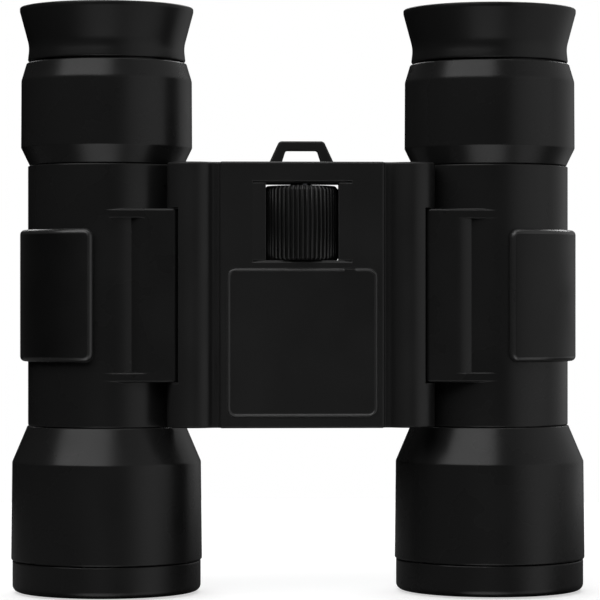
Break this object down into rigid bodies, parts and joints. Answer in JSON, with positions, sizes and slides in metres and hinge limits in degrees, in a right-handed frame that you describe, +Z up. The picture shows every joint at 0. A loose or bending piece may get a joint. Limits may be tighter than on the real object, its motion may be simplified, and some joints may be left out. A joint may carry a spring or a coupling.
{
  "type": "folding binoculars",
  "caption": "Compact folding roof-prism binoculars: hinged barrels on a centre bridge with a ribbed focus wheel, dioptre ring, flared rubber eyecups, grip pads and a strap loop.",
  "frame": {"origin": "midway between the barrel axes, on the plane of the objective bezels that the binoculars stand on", "axes": "+Z up along the optical axes towards the eyepieces, +X towards the user's left barrel, -Y out of the top face with the focus wheel"},
  "size_m": [0.1078, 0.0356, 0.1091],
  "materials": {
    "abs_black": "moulded black ABS, fine satin",
    "rubber_black": "smooth moulded black rubber",
    "optical_glass": "polished optical glass with a faint green coating",
    "steel": "turned steel",
    "brass": "turned brass",
    "black_aluminium": "black anodised aluminium"
  },
  "bodies": {
    "bridge": {"bridge_front_cover": "abs_black", "bridge_back_cover": "abs_black", "inlay_panel": "abs_black", "strap_lug": "abs_black", "cover_screws": "steel", "spindle_bushes": "brass", "left_hinge_pins": "steel", "right_hinge_pins": "steel"},
    "left_barrel": {"left_barrel_tube": "abs_black", "left_objective_bell": "abs_black", "left_objective_bezel": "abs_black", "left_grip_pad": "rubber_black", "left_prism_cage": "abs_black", "left_half_penta_prism": "optical_glass", "left_roof_prism": "optical_glass", "left_prism_clip": "steel", "left_eyepiece_sleeve": "abs_black", "left_eyecup": "rubber_black", "left_ocular_tube": "abs_black", "left_field_stop": "black_aluminium", "left_field_lens": "optical_glass", "left_eye_lens": "optical_glass", "left_eye_retainer": "black_aluminium"},
    "right_barrel": {"right_barrel_tube": "abs_black", "right_objective_bell": "abs_black", "right_objective_bezel": "abs_black", "right_grip_pad": "rubber_black", "right_prism_cage": "abs_black", "right_half_penta_prism": "optical_glass", "right_roof_prism": "optical_glass", "right_prism_clip": "steel", "right_key_pin": "steel"},
    "dioptre_ring": {"right_dioptre_ring": "abs_black", "right_eyecup": "rubber_black"},
    "right_ocular": {"right_ocular_tube": "abs_black", "right_field_stop": "black_aluminium", "right_field_lens": "optical_glass", "right_eye_lens": "optical_glass", "right_eye_retainer": "black_aluminium"},
    "focus_wheel": {"focus_wheel": "abs_black", "focus_spindle": "steel"},
    "focus_yoke": {"focus_yoke": "brass"},
    "left_objective": {"left_objective_cell": "abs_black", "left_crown_lens": "optical_glass", "left_flint_lens": "optical_glass", "left_lens_retainer": "black_aluminium", "left_focus_arm": "steel", "left_focus_rod": "steel"},
    "right_objective": {"right_objective_cell": "abs_black", "right_crown_lens": "optical_glass", "right_flint_lens": "optical_glass", "right_lens_retainer": "black_aluminium", "right_focus_arm": "steel", "right_focus_rod": "steel"}
  },
  "joints": [
    {"name": "left_fold", "type": "hinge", "parent": "bridge", "child": "left_barrel", "pos_m": [0.0199, -0.0116, 0.05522], "axis": [0, 0, 1], "range_deg": [0, 56]},
    {"name": "right_fold", "type": "hinge", "parent": "bridge", "child": "right_barrel", "pos_m": [-0.0199, -0.0116, 0.05522], "axis": [0, 0, -1], "range_deg": [0, 56]},
    {"name": "focus_turn", "type": "hinge", "parent": "bridge", "child": "focus_wheel", "pos_m": [0, -0.0108, 0.0687], "axis": [0, 0, 1], "range_deg": [-240, 240]},
    {"name": "yoke_slide", "type": "slide", "parent": "bridge", "child": "focus_yoke", "axis": [0, 0, 1], "range_m": [-0.00185, 0.00185]},
    {"name": "left_objective_slide", "type": "slide", "parent": "left_barrel", "child": "left_objective", "axis": [0, 0, 1], "range_m": [-0.002, 0.002]},
    {"name": "right_objective_slide", "type": "slide", "parent": "right_barrel", "child": "right_objective", "axis": [0, 0, 1], "range_m": [-0.002, 0.002]},
    {"name": "dioptre_turn", "type": "hinge", "parent": "right_barrel", "child": "dioptre_ring", "pos_m": [-0.03601, 0, 0.09], "axis": [0, 0, 1], "range_deg": [-45, 45]},
    {"name": "right_ocular_slide", "type": "slide", "parent": "right_barrel", "child": "right_ocular", "axis": [0, 0, 1], "range_m": [-0.0006, 0.0006]}
  ],
  "couplings": [
    {"joint": "focus_turn", "follows": "yoke_slide", "rad_per_m": -2094.4},
    {"joint": "left_objective_slide", "follows": "yoke_slide", "ratio": 1},
    {"joint": "right_objective_slide", "follows": "yoke_slide", "ratio": 1},
    {"joint": "right_ocular_slide", "follows": "dioptre_turn", "m_per_rad": -0.00076394}
  ]
}
